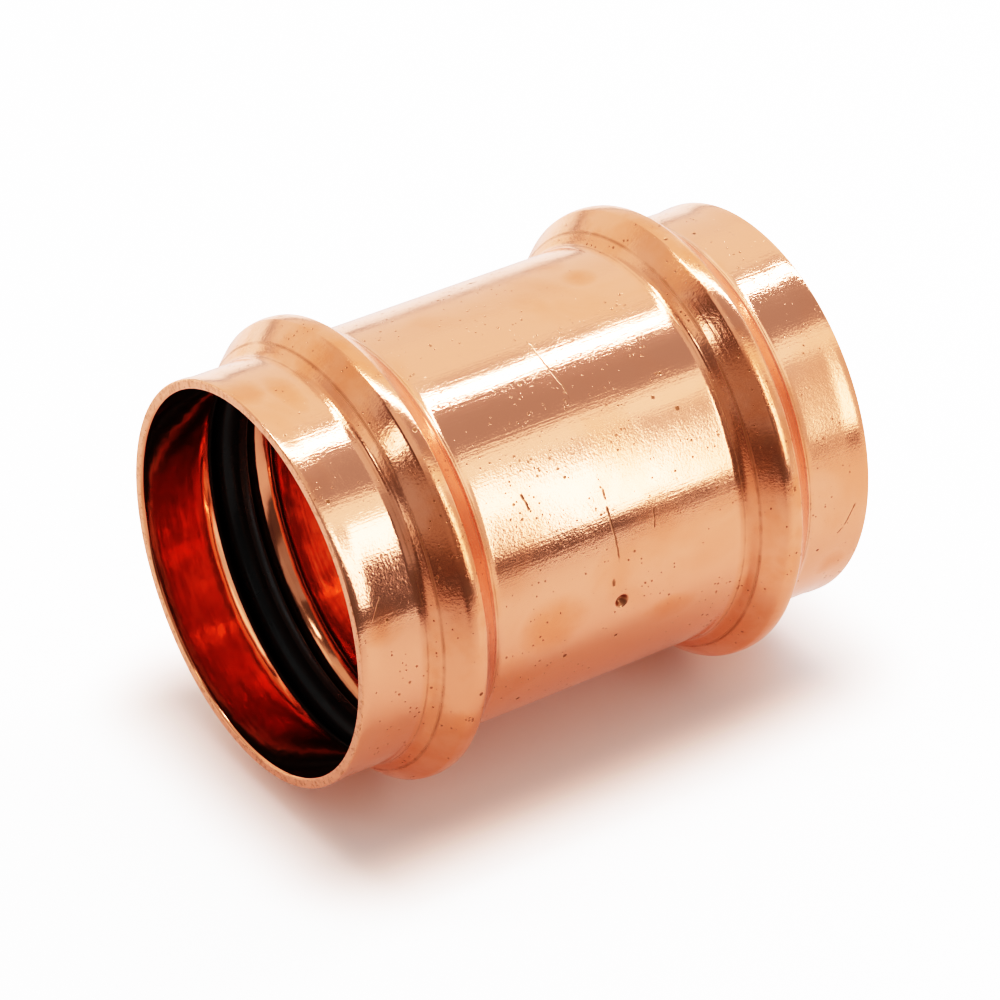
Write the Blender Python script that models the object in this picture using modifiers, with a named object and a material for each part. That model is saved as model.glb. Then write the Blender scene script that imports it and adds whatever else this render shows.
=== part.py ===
"""Straight press coupling for 54 mm copper pipe, lying on its side along X.

Three pieces: one formed copper body, with a lead-in collar, an O-ring bead and a socket at each end
and two punched pipe stops in the middle, and one rubber O-ring inside each bead.
Everything is worked out in metres from the dimensions below.
"""
import math

import bmesh
import bpy
from mathutils import Matrix, Vector

MM = 0.001

# Driving dimensions
PIPE_RADIUS = 27.0 * MM          # the 54 mm pipe that each socket takes
SOCKET_CLEARANCE = 0.1 * MM      # between the pipe and the socket, all round
WALL = 1.4 * MM
LENGTH = 82.0 * MM
BEAD_INSET = 15.5 * MM           # from each mouth to the crest of its bead
BEAD_RADIUS = 32.7 * MM          # from the pipe's axis to the bead's outer crest
CREST_ROUND = 4.45 * MM          # outside rounding over the crest
FOOT_ROUND = 2.5 * MM            # outside rounding where a bead meets the tube
LIP_RADIUS = 28.65 * MM          # the mouth's rim stands a little proud of the tube
LIP_LENGTH = 1.2 * MM
LIP_TAPER = 1.2 * MM
RIM_ROUND_OUT = 0.25 * MM
RIM_ROUND_IN = 0.5 * MM
RING_SECTION = 4.2 * MM          # thickness of an O-ring's cord
RING_GAP = 0.3 * MM              # between an O-ring and the crest of its groove

STOP_ANGLE = math.radians(94.5)  # of the first pipe stop, from the top round towards -Y
STOP_COUNT = 2
STOP_REACH = 1.0 * MM            # how far a stop stands into the bore
STOP_FOOT_RADIUS = 2.2 * MM
STOP_NOSE_RADIUS = 0.9 * MM
PUNCH_DEPTH = 1.1 * MM           # of the dent outside each stop
PUNCH_RADIUS = 1.1 * MM
PUNCH_TIP_RADIUS = 0.5 * MM
PUNCH_CLEAR = 0.3 * MM           # how far the punch starts outside the tube

# Fineness of the faceted solids
FACETS = 48                      # round the pipe's axis
FOOT_STEPS = 3
CREST_STEPS = 6                  # over the whole crest
RIM_STEPS = 2
RING_FACETS = 16                 # round an O-ring's cord
STOP_FACETS = 16

BORE_RADIUS = PIPE_RADIUS + SOCKET_CLEARANCE
TUBE_RADIUS = BORE_RADIUS + WALL
HALF = LENGTH / 2
BEAD_PLACE = HALF - BEAD_INSET

# The turned profiles are drawn round Z, so this lays them along X, with a facet underneath.
LAY_DOWN = Matrix.Rotation(math.pi / 2, 4, "Y") @ Matrix.Rotation(math.pi / FACETS, 4, "Z")


def clear_scene():
    for item in list(bpy.data.objects):
        bpy.data.objects.remove(item, do_unlink=True)


def new_collection(name):
    group = bpy.data.collections.new(name)
    bpy.context.scene.collection.children.link(group)
    return group


def move_to(item, group):
    for old in list(item.users_collection):
        old.objects.unlink(item)
    group.objects.link(item)


def plain_material(name, colour, roughness, metallic):
    material = bpy.data.materials.new(name)
    material.use_nodes = True
    shader = material.node_tree.nodes["Principled BSDF"]
    shader.inputs["Base Color"].default_value = (*colour, 1.0)
    shader.inputs["Roughness"].default_value = roughness
    shader.inputs["Metallic"].default_value = metallic
    return material


def arc(centre, radius, start, end, steps):
    """Points (radial, axial) along an arc, its angles measured from the radial direction."""
    points = []
    for step in range(steps + 1):
        angle = start + (end - start) * step / steps
        points.append((centre[0] + radius * math.cos(angle), centre[1] + radius * math.sin(angle)))
    return points


def bead_outline(place, base, crest, crest_round, foot_round):
    """One bead's outline, from its higher foot over the crest to its lower foot."""
    crest_centre = crest - crest_round
    foot_centre = base + foot_round
    reach = crest_round + foot_round
    lean = math.acos((foot_centre - crest_centre) / reach)
    spread = reach * math.sin(lean)
    upper = arc((foot_centre, place + spread), foot_round, math.pi, math.pi + lean, FOOT_STEPS)
    over = arc((crest_centre, place), crest_round, lean, -lean, CREST_STEPS)
    lower = arc((foot_centre, place - spread), foot_round, math.pi - lean, math.pi, FOOT_STEPS)
    return upper + over[1:-1] + lower


def mirrored(points):
    return [(radial, -axial) for radial, axial in reversed(points)]


def body_profile():
    """The closed section of the wall: down its outer side, then up its inner side."""
    rim_out = arc((LIP_RADIUS - RIM_ROUND_OUT, HALF - RIM_ROUND_OUT), RIM_ROUND_OUT,
                  math.pi / 2, 0.0, RIM_STEPS)
    rim_in = arc((BORE_RADIUS + RIM_ROUND_IN, HALF - RIM_ROUND_IN), RIM_ROUND_IN,
                 math.pi, math.pi / 2, RIM_STEPS)
    lip = [(LIP_RADIUS, HALF - LIP_LENGTH), (TUBE_RADIUS, HALF - LIP_LENGTH - LIP_TAPER)]
    outer_bead = bead_outline(BEAD_PLACE, TUBE_RADIUS, BEAD_RADIUS, CREST_ROUND, FOOT_ROUND)
    groove = bead_outline(BEAD_PLACE, BORE_RADIUS, BEAD_RADIUS - WALL,
                          CREST_ROUND - WALL, FOOT_ROUND + WALL)
    outer = rim_out + lip + outer_bead
    inner = list(reversed(groove)) + rim_in
    return outer + mirrored(outer) + mirrored(inner) + inner


def turned_body(group):
    mesh = bpy.data.meshes.new("coupling_body")
    shape = bmesh.new()
    verts = [shape.verts.new((radial, 0.0, axial)) for radial, axial in body_profile()]
    for first, second in zip(verts, verts[1:] + verts[:1]):
        shape.edges.new((first, second))
    shape.to_mesh(mesh)
    shape.free()
    body = bpy.data.objects.new("coupling_body", mesh)
    group.objects.link(body)
    body.rotation_euler = LAY_DOWN.to_euler()
    turn = body.modifiers.new("turn", "SCREW")
    turn.axis = "Z"
    turn.angle = math.tau
    turn.steps = FACETS
    turn.render_steps = FACETS
    turn.use_merge_vertices = True
    turn.merge_threshold = 0.00001
    turn.use_smooth_shade = True
    return body


def radial_cone(name, group, angle, outer_place, outer_radius, inner_place, inner_radius):
    """A cone along a radius of the pipe, at the middle of its length."""
    mesh = bpy.data.meshes.new(name)
    shape = bmesh.new()
    bmesh.ops.create_cone(shape, cap_ends=True, segments=STOP_FACETS, radius1=inner_radius,
                          radius2=outer_radius, depth=outer_place - inner_place)
    shape.to_mesh(mesh)
    shape.free()
    cone = bpy.data.objects.new(name, mesh)
    group.objects.link(cone)
    outward = Vector((0.0, -math.sin(angle), math.cos(angle)))
    cone.location = outward * (outer_place + inner_place) / 2
    cone.rotation_euler = outward.to_track_quat("Z", "Y").to_euler()
    cone.display_type = "WIRE"
    cone.hide_render = True
    return cone


def add_boolean(body, cutter, operation):
    cut = body.modifiers.new(cutter.name, "BOOLEAN")
    cut.operation = operation
    cut.solver = "EXACT"
    cut.object = cutter


def punch_stops(body, cutters):
    """Each stop is a nose pushed into the bore, with the punch's dent outside it."""
    middle_of_wall = (BORE_RADIUS + TUBE_RADIUS) / 2
    for number in range(STOP_COUNT):
        angle = STOP_ANGLE + math.tau * number / STOP_COUNT
        nose = radial_cone(f"stop_nose_{number + 1}", cutters, angle, middle_of_wall,
                           STOP_FOOT_RADIUS, BORE_RADIUS - STOP_REACH, STOP_NOSE_RADIUS)
        punch = radial_cone(f"stop_punch_{number + 1}", cutters, angle, TUBE_RADIUS + PUNCH_CLEAR,
                            PUNCH_RADIUS, TUBE_RADIUS - PUNCH_DEPTH, PUNCH_TIP_RADIUS)
        add_boolean(body, nose, "UNION")
        add_boolean(body, punch, "DIFFERENCE")


def o_ring(name, side, group, material):
    section_radius = RING_SECTION / 2
    centre_radius = BEAD_RADIUS - WALL - RING_GAP - section_radius
    bpy.ops.mesh.primitive_torus_add(major_radius=centre_radius, minor_radius=section_radius,
                                     major_segments=FACETS, minor_segments=RING_FACETS)
    ring = bpy.context.active_object
    ring.name = name
    ring.rotation_euler = LAY_DOWN.to_euler()
    ring.location = (side * BEAD_PLACE, 0.0, 0.0)
    ring.data.materials.append(material)
    ring.data.shade_smooth()
    move_to(ring, group)


def main():
    clear_scene()
    parts = new_collection("press_coupling")
    cutters = new_collection("cutters")
    copper = plain_material("copper", (0.93, 0.50, 0.33), 0.18, 1.0)
    rubber = plain_material("ring_rubber", (0.012, 0.012, 0.013), 0.35, 0.0)
    body = turned_body(parts)
    body.data.materials.append(copper)
    punch_stops(body, cutters)
    o_ring("front_o_ring", -1.0, parts, rubber)
    o_ring("rear_o_ring", 1.0, parts, rubber)


main()
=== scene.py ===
"""The looks of a copper press-fit coupling: a formed copper body, two rubber O-rings, and its light tent.

Lengths are metres. X is the pipe's axis, Z is up, and the coupling lies on its two beads.
"""
import math

import bmesh
import bpy
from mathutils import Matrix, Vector, noise


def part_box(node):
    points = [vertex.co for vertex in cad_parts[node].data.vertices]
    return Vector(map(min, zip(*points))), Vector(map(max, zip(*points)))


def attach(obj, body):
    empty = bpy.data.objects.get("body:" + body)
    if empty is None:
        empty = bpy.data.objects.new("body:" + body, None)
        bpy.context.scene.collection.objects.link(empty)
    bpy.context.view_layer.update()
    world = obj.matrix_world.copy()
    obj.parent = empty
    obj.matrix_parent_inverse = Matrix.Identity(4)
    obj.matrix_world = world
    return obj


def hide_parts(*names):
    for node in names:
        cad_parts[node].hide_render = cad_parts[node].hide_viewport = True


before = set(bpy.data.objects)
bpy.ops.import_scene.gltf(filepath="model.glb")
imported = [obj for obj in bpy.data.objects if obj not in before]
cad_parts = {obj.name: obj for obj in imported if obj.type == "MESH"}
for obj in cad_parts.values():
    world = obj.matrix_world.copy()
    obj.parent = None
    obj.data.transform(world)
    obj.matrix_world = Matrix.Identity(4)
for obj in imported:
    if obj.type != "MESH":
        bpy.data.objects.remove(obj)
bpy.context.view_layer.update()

MM = 0.001
MICRON = 0.000001

# The contrast curve from light to picture, white being 1
TONE_POWER = 1.9
TONE_MIDDLE = 0.40
TONE_TOP = 1.058
TONE_WHITE = 4.0

# The body's dimensions, those of the CAD model
body_low, body_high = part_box("coupling_body")
HALF = body_high.x
BEAD_RADIUS = body_high.z
FLOOR_Z = body_low.z
ring_low, ring_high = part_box("rear_o_ring")
BEAD_PLACE = (ring_low.x + ring_high.x) / 2
RING_SECTION = ring_high.x - ring_low.x

WALL = 1.4 * MM
BORE_RADIUS = 27.1 * MM
TUBE_RADIUS = BORE_RADIUS + WALL
CREST_ROUND = 4.45 * MM
FOOT_ROUND = 2.5 * MM
LIP_RADIUS = 28.65 * MM
LIP_LENGTH = 1.2 * MM
LIP_TAPER = 1.2 * MM
RIM_ROUND_OUT = 0.25 * MM
RIM_ROUND_IN = 0.5 * MM
CUT_FACE = 0.12 * MM             # how far in from the end the cut finish reaches

RING_GAP = 0.05 * MM             # between an O-ring and the crest of its groove
RING_MIDDLE_RADIUS = BEAD_RADIUS - WALL - RING_GAP - RING_SECTION / 2
RING_SQUEEZE = 1.10              # the cord's width along the pipe, over its thickness
RING_STEPS = 256
CORD_STEPS = 44
FLASH_HEIGHT = 0.03 * MM         # the mould's parting line, inside and outside the ring
FLASH_REACH = math.radians(5.0)

STOP_ANGLE = math.radians(94.5)  # from the top round towards -Y
STOP_ANGLES = (STOP_ANGLE, STOP_ANGLE + math.pi)
STOP_HEIGHT = 1.0 * MM           # how far a pipe stop stands into the bore
PUNCH_DEPTH = 0.9 * MM           # of the dent outside it
PUNCH_SINK = 0.05 * MM           # of the dished metal round the dent

BODY_COLUMNS = 180
STOP_COLUMNS = 16                # on each side of a pipe stop
STOP_REACH = math.radians(6.6)
NEAR_STOP = [step * 0.2 * MM for step in range(16, -1, -1)]
LONGEST_STEP = 1.5 * MM
SLOW_WAVE = 0.020 * MM
QUICK_WAVE = 0.006 * MM
WRAP_LENGTH = 0.18               # metres of outline that the texture square covers


# ---------------------------------------------------------------- node helpers

def new_material(name):
    material = bpy.data.materials.new(name)
    material.use_nodes = True
    nodes = material.node_tree.nodes
    nodes.clear()
    output = nodes.new("ShaderNodeOutputMaterial")
    shader = nodes.new("ShaderNodeBsdfPrincipled")
    material.node_tree.links.new(shader.outputs["BSDF"], output.inputs["Surface"])
    return material, shader


def add_node(material, kind, inputs=None, **settings):
    node = material.node_tree.nodes.new(kind)
    for key, value in settings.items():
        setattr(node, key, value)
    for key, value in (inputs or {}).items():
        if isinstance(value, bpy.types.NodeSocket):
            material.node_tree.links.new(value, node.inputs[key])
        else:
            node.inputs[key].default_value = value
    return node


def link(material, source, target):
    material.node_tree.links.new(source, target)


# ---------------------------------------------------------------- body mesh

def arc(centre, radius, start, end, steps):
    points = []
    for step in range(steps + 1):
        angle = start + (end - start) * step / steps
        points.append((centre[0] + radius * math.cos(angle), centre[1] + radius * math.sin(angle)))
    return points


def groove_outline(base, crest, crest_round, foot_round):
    """The O-ring groove inside a bead: three arcs that run into each other."""
    crest_centre = crest - crest_round
    foot_centre = base + foot_round
    reach = crest_round + foot_round
    lean = math.acos((foot_centre - crest_centre) / reach)
    spread = reach * math.sin(lean)
    upper = arc((foot_centre, BEAD_PLACE + spread), foot_round, math.pi, math.pi + lean, 8)
    over = arc((crest_centre, BEAD_PLACE), crest_round, lean, -lean, 18)
    lower = arc((foot_centre, BEAD_PLACE - spread), foot_round, math.pi - lean, math.pi, 8)
    return upper + over[1:-1] + lower


def swept(start, end, steps):
    """A cubic curve's points from start to end, each (distance from the crest, radius, slope in degrees)."""
    (u0, r0, slope0), (u1, r1, slope1) = start, end
    run = u1 - u0
    m0, m1 = -math.tan(math.radians(slope0)) * run, -math.tan(math.radians(slope1)) * run
    points = []
    for step in range(steps + 1):
        t = step / steps
        radius = ((2 * t ** 3 - 3 * t ** 2 + 1) * r0 + (t ** 3 - 2 * t ** 2 + t) * m0
                  + (3 * t ** 2 - 2 * t ** 3) * r1 + (t ** 3 - t ** 2) * m1)
        points.append((radius, u0 + run * t))
    return points


def bead_outline():
    """A rolled bead: two rolled steps at its foot, a steep wall, a straight flank, a round crest."""
    tube, crest = TUBE_RADIUS / MM, BEAD_RADIUS / MM
    half = (swept((6.45, tube, 0), (5.50, tube + 0.19, 24), 8)
            + swept((5.47, tube + 0.195, 3), (4.60, tube + 0.80, 54), 10)
            + swept((4.57, tube + 0.84, 52), (3.98, tube + 1.58, 52), 8)
            + swept((3.94, tube + 1.63, 43), (1.18, crest - 0.165, 38), 10)
            + swept((1.12, crest - 0.145, 15), (0.0, crest, 0), 8))
    upper = [(radius * MM, BEAD_PLACE + u * MM) for radius, u in half]
    lower = [(radius * MM, BEAD_PLACE - u * MM) for radius, u in reversed(half[:-1])]
    return upper + lower


def filled(points, longest):
    """The same outline with extra points wherever two are further apart than longest."""
    dense = [points[0]]
    for start, end in zip(points, points[1:]):
        gap = math.dist(start, end)
        count = max(1, math.ceil(gap / longest - 1e-6))
        for step in range(1, count + 1):
            t = step / count
            dense.append((start[0] + (end[0] - start[0]) * t, start[1] + (end[1] - start[1]) * t))
    return dense


def mirrored(points):
    return [(radial, -axial) for radial, axial in reversed(points)]


def body_outline():
    """Closed list of (radius, axial place, is outside), down the outside and up the inside."""
    rim_out = arc((LIP_RADIUS - RIM_ROUND_OUT, HALF - RIM_ROUND_OUT), RIM_ROUND_OUT,
                  math.pi / 2, 0.0, 5)
    rim_in = arc((BORE_RADIUS + RIM_ROUND_IN, HALF - RIM_ROUND_IN), RIM_ROUND_IN,
                 math.pi, math.pi / 2, 6)
    lip = [(LIP_RADIUS, HALF - LIP_LENGTH), (TUBE_RADIUS, HALF - LIP_LENGTH - LIP_TAPER)]
    groove = groove_outline(BORE_RADIUS, BEAD_RADIUS - WALL, CREST_ROUND - WALL,
                            FOOT_ROUND + WALL)
    outer = filled(rim_out + lip + bead_outline() + [(TUBE_RADIUS, NEAR_STOP[0])], LONGEST_STEP)
    outer += [(TUBE_RADIUS, place) for place in NEAR_STOP[1:]]
    inner = [(BORE_RADIUS, place) for place in reversed(NEAR_STOP[1:])]
    inner += filled([(BORE_RADIUS, NEAR_STOP[0])] + list(reversed(groove)) + rim_in, LONGEST_STEP)
    outside = outer + mirrored(outer)[1:]
    inside = mirrored(inner) + inner[1:]
    rim_face = filled([outside[-1], inside[0]], 0.2 * MM)[1:-1]
    outside = [(r, z, True) for r, z in outside + rim_face]
    inside = [(r, z, False) for r, z in inside]
    return outside + inside + [(r, -z, False) for r, z in reversed(rim_face)]


def column_angles():
    """Angles round the pipe's axis from +Z towards -Y, closer together near the pipe stops."""
    angles = [math.tau * step / BODY_COLUMNS for step in range(BODY_COLUMNS)]
    extra = []
    for stop in STOP_ANGLES:
        for step in range(-STOP_COLUMNS, STOP_COLUMNS + 1):
            extra.append((stop + STOP_REACH * step / STOP_COLUMNS) % math.tau)
        clear = STOP_REACH * 1.04
        angles = [a for a in angles if abs(math.remainder(a - stop, math.tau)) > clear]
    return sorted(angles + extra)


def stop_push(angle, place, outside):
    """How far the surface is pushed towards the axis at a pipe stop."""
    push = 0.0
    for stop in STOP_ANGLES:
        around = math.remainder(angle - stop, math.tau) * TUBE_RADIUS
        away = math.hypot(around, place)
        if outside:
            push += PUNCH_DEPTH * (1 - smooth(0.30 * MM, 1.10 * MM, away))
            push += PUNCH_SINK * (1 - smooth(0.9 * MM, 2.6 * MM, away))
        else:
            push += STOP_HEIGHT * (1 - smooth(0.5 * MM, 2.4 * MM, away))
    return push


def smooth(low, high, value):
    t = min(1.0, max(0.0, (value - low) / (high - low)))
    return t * t * (3 - 2 * t)


def unevenness(angle, place):
    """The slight waviness that forming leaves in the tube."""
    around = Vector((math.cos(angle), math.sin(angle), 0.0))
    slow = noise.noise(around * 1.3 + Vector((0, 0, place * 22)))
    quick = noise.noise(around * 4.0 + Vector((5, 5, place * 90)))
    return SLOW_WAVE * slow + QUICK_WAVE * quick


def finish_at(first, second):
    """0 for the tube's outside, 1 for its bore and 2 for the cut faces of the mouths."""
    if min(abs(first[1]), abs(second[1])) > HALF - CUT_FACE:
        return 2
    return 0 if first[2] and second[2] else 1


def build_body():
    outline = body_outline()
    angles = column_angles()
    shape = bmesh.new()
    uv = shape.loops.layers.uv.new("Wrap")
    rows = []
    for radius, place, outside in outline:
        row = []
        for angle in angles:
            r = radius - stop_push(angle, place, outside) + unevenness(angle, place)
            row.append(shape.verts.new((place, -r * math.sin(angle), r * math.cos(angle))))
        rows.append(row)
    lengths = [0.0]
    for first, second in zip(outline, outline[1:] + outline[:1]):
        lengths.append(lengths[-1] + math.dist(first[:2], second[:2]))
    columns = len(angles)
    turns = [a / math.tau for a in angles] + [1.0 + angles[0] / math.tau]
    for i in range(len(rows)):
        upper, lower = rows[i], rows[(i + 1) % len(rows)]
        for j in range(columns):
            k = (j + 1) % columns
            face = shape.faces.new((upper[j], upper[k], lower[k], lower[j]))
            face.smooth = True
            face.material_index = finish_at(outline[i], outline[(i + 1) % len(outline)])
            corners = ((j, i), (j + 1, i), (j + 1, i + 1), (j, i + 1))
            for loop, (column, line) in zip(face.loops, corners):
                loop[uv].uv = (turns[column], lengths[line] / WRAP_LENGTH)
    bmesh.ops.recalc_face_normals(shape, faces=shape.faces)
    mesh = bpy.data.meshes.new("copper_body")
    shape.to_mesh(mesh)
    shape.free()
    body = bpy.data.objects.new("copper_body", mesh)
    bpy.context.scene.collection.objects.link(body)
    return body


# ---------------------------------------------------------------- O-rings

def cord_outline():
    """A squeezed round cord, with the fine flash line of its mould inside and outside."""
    turns = [math.tau * step / CORD_STEPS for step in range(CORD_STEPS)]
    for line in (0.0, math.pi):
        turns += [(line + FLASH_REACH * part) % math.tau for part in (-1.0, -0.5, 0.5, 1.0)]
    points = []
    for turn in sorted(turns):
        lean = min(abs(math.remainder(turn, math.tau)), abs(turn - math.pi))
        radius = RING_SECTION / 2 + FLASH_HEIGHT * (1 - smooth(0.0, FLASH_REACH, lean))
        points.append((RING_MIDDLE_RADIUS + radius * math.cos(turn),
                       RING_SQUEEZE * radius * math.sin(turn)))
    return points


def build_ring(name, place):
    shape = bmesh.new()
    outline = cord_outline()
    rows = []
    for i in range(RING_STEPS):
        angle = math.tau * i / RING_STEPS
        rows.append([shape.verts.new((place + along, -r * math.sin(angle), r * math.cos(angle)))
                     for r, along in outline])
    for i in range(RING_STEPS):
        a, b = rows[i], rows[(i + 1) % RING_STEPS]
        for j in range(len(outline)):
            k = (j + 1) % len(outline)
            shape.faces.new((a[j], b[j], b[k], a[k])).smooth = True
    bmesh.ops.recalc_face_normals(shape, faces=shape.faces)
    mesh = bpy.data.meshes.new(name)
    shape.to_mesh(mesh)
    shape.free()
    ring = bpy.data.objects.new(name, mesh)
    bpy.context.scene.collection.objects.link(ring)
    return ring


# ---------------------------------------------------------------- materials

COPPER = (0.90, 0.445, 0.30, 1.0)
# the colour of stains and film, and of the painted shade on the underside
TARNISH_AND_SHADE_TINT = (0.83, 0.34, 0.19, 1.0)
# the colour of dirt in pits and scratches, and of the painted shade in the bead folds and dents
DIRT_AND_SHADE = (0.36, 0.17, 0.09, 1.0)
BORE = (0.84, 0.40, 0.26, 1.0)
BORE_DARK = (0.72, 0.30, 0.17, 1.0)
RIM_DARK = (0.62, 0.30, 0.18, 1.0)
# painted light: the colour of the glow painted on the floor round the coupling, in place of light thrown off
# the copper
PAINTED_COPPER_BOUNCE = (1.0, 0.60, 0.45, 1.0)
FOOTPRINT = (0.036, 0.020, 0.0)  # half the floor's shaded rectangle round the coupling
FOOTPRINT_EDGE = 0.020           # over which the floor turns white to the camera
WARM = (1.0, 0.96, 0.92)
COOL = (0.96, 1.0, 1.1)


def math_node(material, operation, first, second=0.0, third=0.0, clamp=False):
    node = add_node(material, "ShaderNodeMath", {0: first, 1: second, 2: third},
                    operation=operation, use_clamp=clamp)
    return node.outputs[0]


def ramp(material, value, low, high, start=0.0, end=1.0):
    node = add_node(material, "ShaderNodeMapRange", {"Value": value, "From Min": low,
                    "From Max": high, "To Min": start, "To Max": end},
                    interpolation_type="SMOOTHSTEP")
    return node.outputs["Result"]


def noise_node(material, place, scale, detail=2.0, rough=0.5, warp=0.0):
    node = add_node(material, "ShaderNodeTexNoise", {"Vector": place, "Scale": scale,
                    "Detail": detail, "Roughness": rough, "Distortion": warp})
    return node.outputs["Fac"]


def stretched(material, place, factors):
    return add_node(material, "ShaderNodeVectorMath", {0: place, 1: factors},
                    operation="MULTIPLY").outputs[0]


def tinted(material, fac, first, second):
    """Colour first where fac is 0 and second where it is 1; each a colour or a socket."""
    node = add_node(material, "ShaderNodeMix", data_type="RGBA")
    for socket, value in ((node.inputs[0], fac), (node.inputs[6], first), (node.inputs[7], second)):
        if isinstance(value, bpy.types.NodeSocket):
            link(material, value, socket)
        else:
            socket.default_value = value
    return node.outputs[2]


def own_place(material):
    return add_node(material, "ShaderNodeTexCoord").outputs["Object"]


def bumped(material, shader, height, depth):
    """Gives the shader a relief whose height, where it is 1, is the depth in metres."""
    bump = add_node(material, "ShaderNodeBump", {"Height": height, "Strength": 1.0,
                    "Distance": depth})
    link(material, bump.outputs["Normal"], shader.inputs["Normal"])


def unrolled(material):
    """Sockets for the place along the pipe and round it, from +Z towards -Y, both in millimetres."""
    place = own_place(material)
    axes = add_node(material, "ShaderNodeSeparateXYZ", {0: place}).outputs
    along = math_node(material, "MULTIPLY", axes[0], 1000.0)
    front = math_node(material, "MULTIPLY", axes[1], -1.0)
    turn = math_node(material, "ARCTAN2", front, axes[2])
    around = math_node(material, "MULTIPLY", turn, TUBE_RADIUS / MM)
    return place, axes, along, around


def stroke(material, along, around, start, end, width):
    """1 on a scratch between two points (mm along, degrees round), 0 further off than its width."""
    to_mm = math.radians(TUBE_RADIUS / MM)
    x0, y0, x1, y1 = start[0], start[1] * to_mm, end[0], end[1] * to_mm
    length = math.hypot(x1 - x0, y1 - y0)
    ux, uy = (x1 - x0) / length, (y1 - y0) / length
    dx = math_node(material, "SUBTRACT", along, x0)
    dy = math_node(material, "SUBTRACT", around, y0)
    run = math_node(material, "MULTIPLY", dx, ux)
    run = math_node(material, "MULTIPLY_ADD", dy, uy, run)
    off = math_node(material, "MULTIPLY", dx, -uy)
    off = math_node(material, "MULTIPLY_ADD", dy, ux, off)
    off = math_node(material, "ABSOLUTE", off)
    line = ramp(material, off, 0.0, width, 1.0, 0.0)
    past = math_node(material, "SUBTRACT", run, length / 2)
    past = math_node(material, "ABSOLUTE", past)
    ends = ramp(material, past, length * 0.38, length * 0.52, 1.0, 0.0)
    return math_node(material, "MULTIPLY", line, ends)


def patch(material, along, around, centre, size):
    """1 in the middle of an oval (mm along, degrees round) and 0 at its edge."""
    to_mm = math.radians(TUBE_RADIUS / MM)
    dx = math_node(material, "SUBTRACT", along, centre[0])
    dy = math_node(material, "SUBTRACT", around, centre[1] * to_mm)
    dx = math_node(material, "DIVIDE", dx, size[0])
    dy = math_node(material, "DIVIDE", dy, size[1])
    dx = math_node(material, "MULTIPLY", dx, dx)
    away = math_node(material, "MULTIPLY_ADD", dy, dy, dx)
    return math_node(material, "SUBTRACT", 1.0, away, clamp=True)


def together(material, masks):
    total = masks[0]
    for mask in masks[1:]:
        total = math_node(material, "MAXIMUM", total, mask)
    return total


# Each scratch: two ends (mm along the pipe, degrees round it) and a width in mm.
SCRATCHES = (((-0.9, 14), (-0.4, 35), 0.16), ((-1.0, 60), (-0.5, 82), 0.20),
             ((38.9, 92), (37.2, 99), 0.18), ((37.2, 99), (36.2, 101), 0.15),
             ((-12.8, 54), (-12.4, 59), 0.22), ((-1.6, 86.0), (-1.3, 88.5), 0.35),
             ((-36.5, 66), (-38.4, 72), 0.14), ((6.1, 70), (5.7, 76), 0.14),
             ((-9.6, 45), (-8.9, 47), 0.2))
# Each stain: its middle (mm, degrees) and its half-lengths along and round the pipe in mm.
STAINS = (((-39.0, -5), (3.2, 5.5)), ((12.0, -16), (3.6, 4.0)), ((-11.0, 94), (7.0, 5.5)),
          ((36.7, 114), (3.2, 3.4)), ((-34.5, 2), (2.5, 6.0)), ((13.5, -3), (3.0, 3.0)),
          ((-37.0, 74), (4.0, 3.5)), ((8.0, 104), (6.0, 3.0)), ((24.0, 12), (3.0, 12.0)))
# Each crease of painted shade: millimetres from the bead's crest, width in mm, and how dark it is.
PAINTED_CREASE_SHADE = ((5.49, 0.22, 0.42), (3.95, 0.26, 0.60))


def tarnish_and_shade_mask(material, axes, along, around, on_bead, cloudy, patchy):
    """Oval stains, a cloudy film that is thicker on the beads, and painted shade that tints the underside
    darker and redder.
    """
    torn = math_node(material, "MULTIPLY", patchy, 1.1)
    spots = [patch(material, along, around, centre, size) for centre, size in STAINS]
    stain = math_node(material, "MULTIPLY", together(material, spots), torn, clamp=True)
    stain = ramp(material, stain, 0.02, 0.62, 0.0, 0.80)
    film = ramp(material, cloudy, 0.46, 0.66, 0.0, 0.50)
    rolled_film = ramp(material, patchy, 0.38, 0.62, 0.20, 0.62)
    film = math_node(material, "MULTIPLY_ADD", on_bead, rolled_film, film)
    # painted shade: the lower side tinted darker and redder
    painted_underside_shade = ramp(material, axes[2], 0.004, -0.020, 0.0, 0.14)
    film = math_node(material, "ADD", film, painted_underside_shade, clamp=True)
    return math_node(material, "MAXIMUM", stain, film)


def cell_edge(material, place, scale, rarity, largest):
    """Above 0 inside a round speck in some of the cells; largest is in cell widths."""
    cells = add_node(material, "ShaderNodeTexVoronoi", {"Vector": place, "Scale": scale})
    chance = add_node(material, "ShaderNodeSeparateColor", {0: cells.outputs["Color"]}).outputs
    size = math_node(material, "MULTIPLY", ramp(material, chance[0], rarity, 1.0), largest)
    return math_node(material, "SUBTRACT", size, cells.outputs["Distance"])


def pit_mask(material, place, patchy):
    """A few pits of different sizes, and crowds of fine specks."""
    pits = ramp(material, cell_edge(material, place, 360.0, 0.74, 0.14), 0.0, 0.05)
    crowd = ramp(material, patchy, 0.38, 0.62, 0.11, 0.47)
    specks = ramp(material, cell_edge(material, place, 1900.0, 0.72, crowd), 0.0, 0.12, 0.0, 0.75)
    return math_node(material, "MAXIMUM", pits, specks)


def scratch_mask(material, place, along, around, coarse):
    """Scratches, their course shaken a little and their line broken."""
    shake = noise_node(material, place, 300.0, 3.0, 0.7)
    shaken = math_node(material, "MULTIPLY_ADD", shake, 0.9, along)
    shaken = math_node(material, "SUBTRACT", shaken, 0.45)
    lines = [stroke(material, shaken, around, *scratch) for scratch in SCRATCHES]
    broken = ramp(material, coarse, 0.30, 0.48)
    return math_node(material, "MULTIPLY", together(material, lines), broken)


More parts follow.
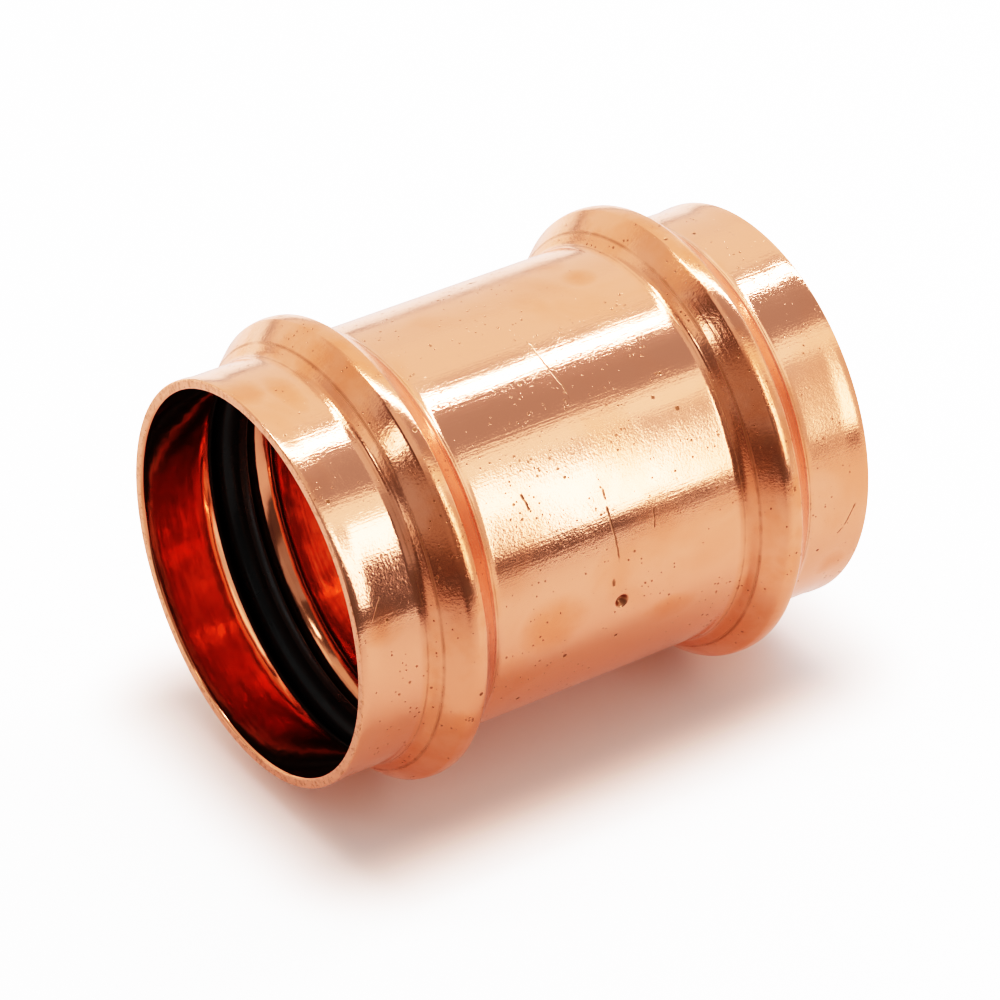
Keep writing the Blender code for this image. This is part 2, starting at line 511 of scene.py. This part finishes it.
def painted_crease_shade_mask(material, from_crest, patchy):
    """Painted shade: darker lines in the folds of the beads."""
    shaded_folds = []
    for fold, width, strength in PAINTED_CREASE_SHADE:
        off = math_node(material, "SUBTRACT", from_crest, fold)
        off = math_node(material, "ABSOLUTE", off)
        shaded_folds.append(ramp(material, off, 0.0, width, strength, 0.0))
    uneven = ramp(material, patchy, 0.30, 0.62, 0.15, 1.0)
    return math_node(material, "MULTIPLY", together(material, shaded_folds), uneven)


def painted_dent_shade_mask(material, along, around):
    """Painted shade: darkening in the dents of the pipe stops."""
    turns = [math.degrees(math.remainder(angle, math.tau)) for angle in STOP_ANGLES]
    shaded_dents = [patch(material, along, around, (0.0, turn), (1.15, 1.15)) for turn in turns]
    return ramp(material, together(material, shaded_dents), 0.0, 0.5, 0.0, 0.8)


def copper_material():
    """The outside: drawn and rolled copper, brightly pickled, with stains, pits and scratches, and painted
    shade in the bead folds, the pipe-stop dents and underneath.
    """
    material, shader = new_material("formed_copper")
    shader.inputs["Metallic"].default_value = 1.0
    place, axes, along, around = unrolled(material)
    from_crest = math_node(material, "ABSOLUTE", along)
    from_crest = math_node(material, "SUBTRACT", from_crest, BEAD_PLACE / MM)
    from_crest = math_node(material, "ABSOLUTE", from_crest)
    on_bead = ramp(material, from_crest, 5.2, 6.6, 1.0, 0.0)

    cloudy = noise_node(material, place, 38.0, 4.0, 0.55, 0.4)
    patchy = noise_node(material, place, 160.0, 3.0, 0.6)
    coarse = noise_node(material, place, 700.0, 2.0, 0.5)
    # stains and film, together with painted shade on the underside
    tarnish_and_shade = tarnish_and_shade_mask(material, axes, along, around, on_bead, cloudy, patchy)
    # dirt in pits and scratches, together with painted shade in the bead folds and the pipe-stop dents
    dirt_and_shade = together(material, [pit_mask(material, place, patchy),
                               scratch_mask(material, place, along, around, coarse),
                               painted_crease_shade_mask(material, from_crest, patchy),
                               painted_dent_shade_mask(material, along, around)])
    colour = tinted(material, tarnish_and_shade, COPPER, TARNISH_AND_SHADE_TINT)
    colour = tinted(material, dirt_and_shade, colour, DIRT_AND_SHADE)
    link(material, colour, shader.inputs["Base Color"])

    rough = math_node(material, "MULTIPLY_ADD", cloudy, 0.08, 0.090)
    rough = math_node(material, "MULTIPLY_ADD", tarnish_and_shade, 0.09, rough)
    rough = math_node(material, "MULTIPLY_ADD", dirt_and_shade, 0.30, rough)
    link(material, rough, shader.inputs["Roughness"])

    grain = noise_node(material, place, 3000.0, 2.0, 0.6)
    drawn = noise_node(material, stretched(material, place, (0.03, 1.0, 1.0)), 2600.0, 2.0, 0.6)
    rolled = noise_node(material, stretched(material, place, (1.0, 0.015, 0.015)), 1900.0, 2.0, 0.5)
    rolled = math_node(material, "MULTIPLY", rolled, on_bead)
    worn = ramp(material, patchy, 0.35, 0.65, 0.9, 1.9)
    height = math_node(material, "MULTIPLY", grain, worn)
    for marks, depth in ((drawn, 1.2), (coarse, 0.9), (rolled, 2.2), (dirt_and_shade, -3.0)):
        height = math_node(material, "MULTIPLY_ADD", marks, depth, height)
    bumped(material, shader, height, 11 * MICRON)
    return material


def bore_material():
    """The inside: the same copper, duller and redder, with the marks of the sizing mandrel."""
    material, shader = new_material("bore_copper")
    shader.inputs["Metallic"].default_value = 1.0
    place = own_place(material)
    cloudy = noise_node(material, place, 55.0, 3.0, 0.55, 0.5)
    film = ramp(material, cloudy, 0.40, 0.70)
    link(material, tinted(material, film, BORE, BORE_DARK), shader.inputs["Base Color"])
    link(material, math_node(material, "MULTIPLY_ADD", cloudy, 0.12, 0.07),
         shader.inputs["Roughness"])
    turned = noise_node(material, stretched(material, place, (1.0, 0.02, 0.02)), 1500.0, 2.0, 0.6)
    lumps = noise_node(material, place, 210.0, 2.0, 0.5)
    bumped(material, shader, math_node(material, "MULTIPLY_ADD", lumps, 9.0, turned), 10 * MICRON)
    return material


def rim_material():
    """The cut faces of the mouths: rounded over, rougher and unevenly worn."""
    material, shader = new_material("cut_copper")
    shader.inputs["Metallic"].default_value = 1.0
    fine = noise_node(material, own_place(material), 1500.0, 3.0, 0.6)
    worn = ramp(material, fine, 0.45, 0.70)
    link(material, tinted(material, worn, COPPER, RIM_DARK), shader.inputs["Base Color"])
    link(material, math_node(material, "MULTIPLY_ADD", fine, 0.2, 0.16), shader.inputs["Roughness"])
    bumped(material, shader, fine, 60 * MICRON)
    return material


def rubber_material():
    """Black EPDM with a thin film of silicone grease."""
    material, shader = new_material("epdm_rubber")
    place = own_place(material)
    greasy = noise_node(material, place, 130.0, 3.0, 0.6)
    fine = noise_node(material, place, 2200.0, 2.0, 0.6)
    link(material, tinted(material, greasy, (0.006, 0.006, 0.006, 1.0), (0.013, 0.013, 0.014, 1.0)),
         shader.inputs["Base Color"])
    link(material, ramp(material, greasy, 0.3, 0.7, 0.22, 0.40), shader.inputs["Roughness"])
    bumped(material, shader, fine, 10 * MICRON)
    return material


def vector_node(material, operation, first, second=(0.0, 0.0, 0.0)):
    return add_node(material, "ShaderNodeVectorMath", {0: first, 1: second}, operation=operation)


def floor_material():
    """A white sweep, white to the camera further away, with a painted copper-coloured glow round the
    coupling that stands in for light thrown off the copper.
    """
    material, shader = new_material("white_sweep")
    shader.inputs["Base Color"].default_value = (0.78, 0.78, 0.78, 1.0)
    shader.inputs["Roughness"].default_value = 0.45
    shader.inputs["Specular IOR Level"].default_value = 0.3
    place = own_place(material)
    flat = vector_node(material, "ABSOLUTE", place).outputs[0]
    past = vector_node(material, "SUBTRACT", flat, FOOTPRINT).outputs[0]
    past = vector_node(material, "MAXIMUM", past).outputs[0]
    away = vector_node(material, "LENGTH", past).outputs["Value"]
    seen = add_node(material, "ShaderNodeLightPath").outputs["Is Camera Ray"]
    axes = add_node(material, "ShaderNodeSeparateXYZ", {0: place}).outputs
    behind = ramp(material, axes[1], 0.10, 0.22, 0.0, 0.35)
    far = math_node(material, "MULTIPLY", ramp(material, away, 0.0, FOOTPRINT_EDGE), seen)
    far = math_node(material, "MAXIMUM", far, behind)
    # painted light: a faint glow, copper-coloured round the coupling, in place of light thrown onto the
    # floor by the copper; brighter in reflections than to the camera
    low = math_node(material, "MULTIPLY_ADD", seen, -0.07, 0.14)
    link(material, math_node(material, "MULTIPLY_ADD", far, 0.92, low),
         shader.inputs["Emission Strength"])
    link(material, tinted(material, far, PAINTED_COPPER_BOUNCE, (1.0, 1.0, 1.0, 1.0)),
         shader.inputs["Emission Color"])
    return material


# ---------------------------------------------------------------- stage

LAMP_BRIGHT = 16.0
SLIT_BRIGHT = 3.2
CAMERA_LENS = 178.3
CAMERA_AZIMUTH = math.radians(34.15)
CAMERA_ELEVATION = math.radians(33.78)
CAMERA_DISTANCE = 0.6753
CAMERA_TARGET = (-0.8 * MM, -0.7 * MM, -1.1 * MM)


def build_floor():
    shape = bmesh.new()
    bmesh.ops.create_grid(shape, x_segments=8, y_segments=8, size=3.0)
    mesh = bpy.data.meshes.new("floor")
    shape.to_mesh(mesh)
    shape.free()
    floor = bpy.data.objects.new("floor", mesh)
    floor.location.z = FLOOR_Z
    bpy.context.scene.collection.objects.link(floor)
    floor.data.materials.append(floor_material())


def panel(name, centre, facing, width, height, brightness, colour=(1, 1, 1)):
    """A soft rectangular light whose surface has the given brightness, white being 1."""
    lamp = bpy.data.lights.new(name, "AREA")
    lamp.shape = "RECTANGLE"
    lamp.size = width
    lamp.size_y = height
    lamp.energy = brightness * math.pi * width * height
    lamp.color = colour
    holder = bpy.data.objects.new(name, lamp)
    holder.location = centre
    holder.rotation_euler = Vector(facing).to_track_quat("-Z", "Y").to_euler()
    holder.visible_camera = False
    bpy.context.scene.collection.objects.link(holder)
    return holder


def span(name, facing, place, across, along, brightness, colour=(1, 1, 1)):
    """A panel on a wall of the tent, given by its edges."""
    width, height = across[1] - across[0], along[1] - along[0]
    u, v = (across[0] + across[1]) / 2, (along[0] + along[1]) / 2
    if facing[2]:
        centre = (u, v, place)
    elif facing[1]:
        centre = (u, place, v)
    else:
        centre = (place, u, v)
    return panel(name, centre, facing, width, height, brightness, colour)


def build_tent():
    """A product tent: cloth walls, a bent lamp bar overhead, and a bright slit in front."""
    top, front, back, left, right = 0.32, -0.284, 0.40, -0.42, 0.50
    floor = FLOOR_Z + 2 * MM
    lamp_place = top - 5 * MM
    down, inward, outward = (0, 0, -1), (0, 1, 0), (0, -1, 0)
    span("lamp_bar", down, lamp_place, (0.07, 0.49), (0.024, 0.043), LAMP_BRIGHT, COOL)
    bar = panel("lamp_bar_left", (-0.025, 0.075, lamp_place), down, 0.205, 0.020,
                LAMP_BRIGHT, COOL)
    bar.rotation_euler.z -= math.radians(22.0)
    span("lamp_left", down, lamp_place, (-0.40, -0.28), (-0.066, -0.014), 3.6)
    span("ceiling_back", down, top, (0.03, right), (0.10, back), 0.80, WARM)
    span("ceiling_back_left", down, top, (left, 0.03), (0.10, back), 0.55, WARM)
    span("ceiling_middle", down, top, (left, right), (0.045, 0.10), 0.43)
    span("ceiling_gap", down, top, (0.09, right), (-0.17, 0.0), 0.27, (0.97, 1.0, 1.05))
    span("ceiling_gap_left", down, top, (-0.14, 0.09), (-0.19, 0.0), 0.50)
    span("ceiling_front", down, top, (0.09, right), (front, -0.17), 1.05, WARM)
    span("ceiling_front_left", down, top, (left, 0.09), (front, -0.19), 0.25)
    span("slit_high", inward, front, (0.108, 0.178), (0.16, top), SLIT_BRIGHT)
    span("slit_low", inward, front, (0.127, 0.178), (0.030, 0.16), SLIT_BRIGHT)
    span("slit_side", inward, front, (0.178, 0.205), (0.012, top), 0.6)
    span("front_foot", inward, front, (0.02, right), (floor, -0.022), 1.0)
    span("cloth_right", inward, front, (0.178, right), (floor, top), 0.50)
    span("cloth_left", inward, front, (left, 0.02), (0.10, top), 0.22)
    span("back_wall", outward, back, (left, right), (0.05, top), 0.72, WARM)
    span("back_foot", outward, back, (left, right), (floor, 0.03), 0.95)
    span("left_back", (1, 0, 0), left, (0.02, 0.14), (floor, top), 0.75)
    span("left_far", (1, 0, 0), left, (0.14, back), (floor, top), 0.38)
    span("left_front", (1, 0, 0), left, (front, -0.10), (0.10, top), 0.28)
    span("left_low", (1, 0, 0), left, (-0.10, 0.02), (floor, 0.10), 0.85)
    span("right_wall", (-1, 0, 0), right, (front, back), (floor, 0.16), 0.55)
    span("right_top", (-1, 0, 0), right, (front, back), (0.16, top), 1.0)
    build_walls(top, front, back, left, right)


def build_walls(top, front, back, left, right):
    """The tent's dark outer cloth, which the camera looks through."""
    shape = bmesh.new()
    corners = [(left, front), (right, front), (right, back), (left, back)]
    gap = 0.004
    out = [(x + math.copysign(gap, x), y + math.copysign(gap, y)) for x, y in corners]
    low = [shape.verts.new((x, y, FLOOR_Z - gap)) for x, y in out]
    high = [shape.verts.new((x, y, top + gap)) for x, y in out]
    for k in range(4):
        shape.faces.new((low[k], low[(k + 1) % 4], high[(k + 1) % 4], high[k]))
    mesh = bpy.data.meshes.new("tent_walls")
    shape.to_mesh(mesh)
    shape.free()
    material, shader = new_material("tent_cloth")
    shader.inputs["Base Color"].default_value = (0.1, 0.1, 0.1, 1.0)
    shader.inputs["Roughness"].default_value = 0.9
    shader.inputs["Emission Color"].default_value = (1.0, 0.97, 0.93, 1.0)
    shader.inputs["Emission Strength"].default_value = 0.07
    mesh.materials.append(material)
    walls = bpy.data.objects.new("tent_walls", mesh)
    walls.visible_camera = False
    walls.visible_shadow = False
    bpy.context.scene.collection.objects.link(walls)


def build_world():
    world = bpy.data.worlds.new("studio")
    world.use_nodes = True
    nodes, links = world.node_tree.nodes, world.node_tree.links
    nodes.clear()
    output = nodes.new("ShaderNodeOutputWorld")
    room = nodes.new("ShaderNodeBackground")
    room.inputs["Color"].default_value = (0.15, 0.145, 0.14, 1)
    seen = nodes.new("ShaderNodeBackground")
    seen.inputs["Color"].default_value = (3, 3, 3, 1)
    mix = nodes.new("ShaderNodeMixShader")
    path = nodes.new("ShaderNodeLightPath")
    links.new(path.outputs["Is Camera Ray"], mix.inputs[0])
    links.new(room.outputs[0], mix.inputs[1])
    links.new(seen.outputs[0], mix.inputs[2])
    links.new(mix.outputs[0], output.inputs["Surface"])
    bpy.context.scene.world = world


def build_camera():
    lens = bpy.data.cameras.new("camera")
    lens.lens = CAMERA_LENS
    lens.sensor_width = 36.0
    camera = bpy.data.objects.new("camera", lens)
    level = math.cos(CAMERA_ELEVATION)
    forward = Vector((math.sin(CAMERA_AZIMUTH) * level, math.cos(CAMERA_AZIMUTH) * level,
                      -math.sin(CAMERA_ELEVATION)))
    camera.location = Vector(CAMERA_TARGET) - forward * CAMERA_DISTANCE
    camera.rotation_euler = forward.to_track_quat("-Z", "Y").to_euler()
    bpy.context.scene.collection.objects.link(camera)
    bpy.context.scene.camera = camera


def tone(light):
    """A camera's contrast curve: deep shadows, bright middle tones and a soft shoulder."""
    lifted = light ** TONE_POWER
    return min(1.0, TONE_TOP * lifted / (lifted + TONE_MIDDLE ** TONE_POWER))


def set_tone():
    view = bpy.context.scene.view_settings
    view.view_transform = "Standard"
    view.look = "None"
    view.use_curve_mapping = True
    mapping = view.curve_mapping
    mapping.white_level = (TONE_WHITE, TONE_WHITE, TONE_WHITE)
    curve = mapping.curves[3]
    curve.points[0].location = (0.0, 0.0)
    curve.points[1].location = (1.0, 1.0)
    for light in (0.03, 0.07, 0.13, 0.2, 0.3, 0.42, 0.56, 0.75, 1.0, 1.4, 2.0, 2.8):
        curve.points.new(light / TONE_WHITE, tone(light))
    mapping.update()


def main():
    set_tone()
    build_world()
    build_floor()
    build_tent()
    build_camera()
    coppers = (copper_material(), bore_material(), rim_material())
    rubber = rubber_material()
    body = build_body()
    for copper in coppers:
        body.data.materials.append(copper)
    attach(body, "root")
    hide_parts("coupling_body")
    for name, node, side in (("front_ring", "front_o_ring", -1), ("rear_ring", "rear_o_ring", 1)):
        ring = build_ring(name, side * BEAD_PLACE)
        ring.data.materials.append(rubber)
        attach(ring, "root")
        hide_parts(node)


main()
